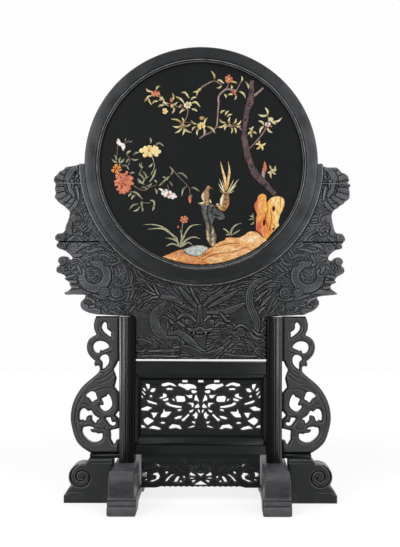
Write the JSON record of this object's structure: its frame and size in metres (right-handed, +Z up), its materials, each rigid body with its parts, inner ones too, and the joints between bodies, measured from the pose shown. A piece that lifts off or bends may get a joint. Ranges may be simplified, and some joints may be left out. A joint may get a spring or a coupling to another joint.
{
  "type": "table screen",
  "caption": "Round hardstone-inlaid disc in a plain ring, resting in a carved crescent cradle on a cross-footed dark wood stand with scroll brackets.",
  "frame": {"origin": "on the floor plane, under the middle of the whole screen", "axes": "+Z up, +X to the viewer's right, -Y towards the viewer (the inlaid face)"},
  "size_m": [0.5942, 0.31, 0.909],
  "materials": {
    "dark_wood": "dark hardwood, waxed, dull sheen",
    "black_ground": "near-black polished hardwood ground",
    "red_stone": "polished orange-red soapstone",
    "amber_stone": "polished amber soapstone with red veins",
    "cream_stone": "polished cream soapstone",
    "green_stone": "polished grey-green stone",
    "brown_stone": "polished red-brown stone",
    "blue_stone": "grey-blue stone",
    "white_stone": "white and pink stone"
  },
  "bodies": {
    "stand": {"left_post": "dark_wood", "right_post": "dark_wood", "upper_rail": "dark_wood", "lower_rail": "dark_wood", "left_frame_stile": "dark_wood", "right_frame_stile": "dark_wood", "frame_head": "dark_wood", "frame_sill": "dark_wood", "pierced_panel": "dark_wood", "apron": "dark_wood", "left_shoe_foot": "dark_wood", "right_shoe_foot": "dark_wood", "left_scroll_foot": "dark_wood", "right_scroll_foot": "dark_wood", "left_bracket_plinth": "dark_wood", "right_bracket_plinth": "dark_wood", "left_scroll_bracket": "dark_wood", "right_scroll_bracket": "dark_wood"},
    "cradle": {"cradle_base_board": "dark_wood", "cradle_left_wing": "dark_wood", "cradle_right_wing": "dark_wood", "cradle_left_tip": "dark_wood", "cradle_right_tip": "dark_wood"},
    "disc": {"ring_segment_right": "dark_wood", "ring_segment_top": "dark_wood", "ring_segment_left": "dark_wood", "ring_segment_bottom": "dark_wood", "sight_bead": "dark_wood", "ground_panel": "black_ground", "back_panel": "dark_wood", "scholar_rock": "amber_stone", "tree_trunk": "brown_stone", "ground_rock": "amber_stone", "blue_stone": "blue_stone", "pillar_rock": "green_stone", "perched_bird": "brown_stone", "long_tailed_bird": "cream_stone", "upper_branch": "green_stone", "blossom_branch": "green_stone", "cream_leaf_spray": "cream_stone", "yellow_star_flower": "amber_stone", "green_star_flower": "green_stone", "orchid_clump": "green_stone", "grass_tuft": "green_stone", "red_peony": "red_stone", "yellow_peony": "amber_stone", "white_peony": "white_stone", "pink_bud": "white_stone", "peony_stems": "green_stone", "hanging_bud": "red_stone"}
  },
  "joints": [
    {"name": "cradle_lift", "type": "slide", "parent": "stand", "child": "cradle", "axis": [0, 0, 1], "range_m": [0, 0.1]},
    {"name": "disc_lift", "type": "slide", "parent": "cradle", "child": "disc", "axis": [0, 0, 1], "range_m": [0, 0.25]}
  ]
}
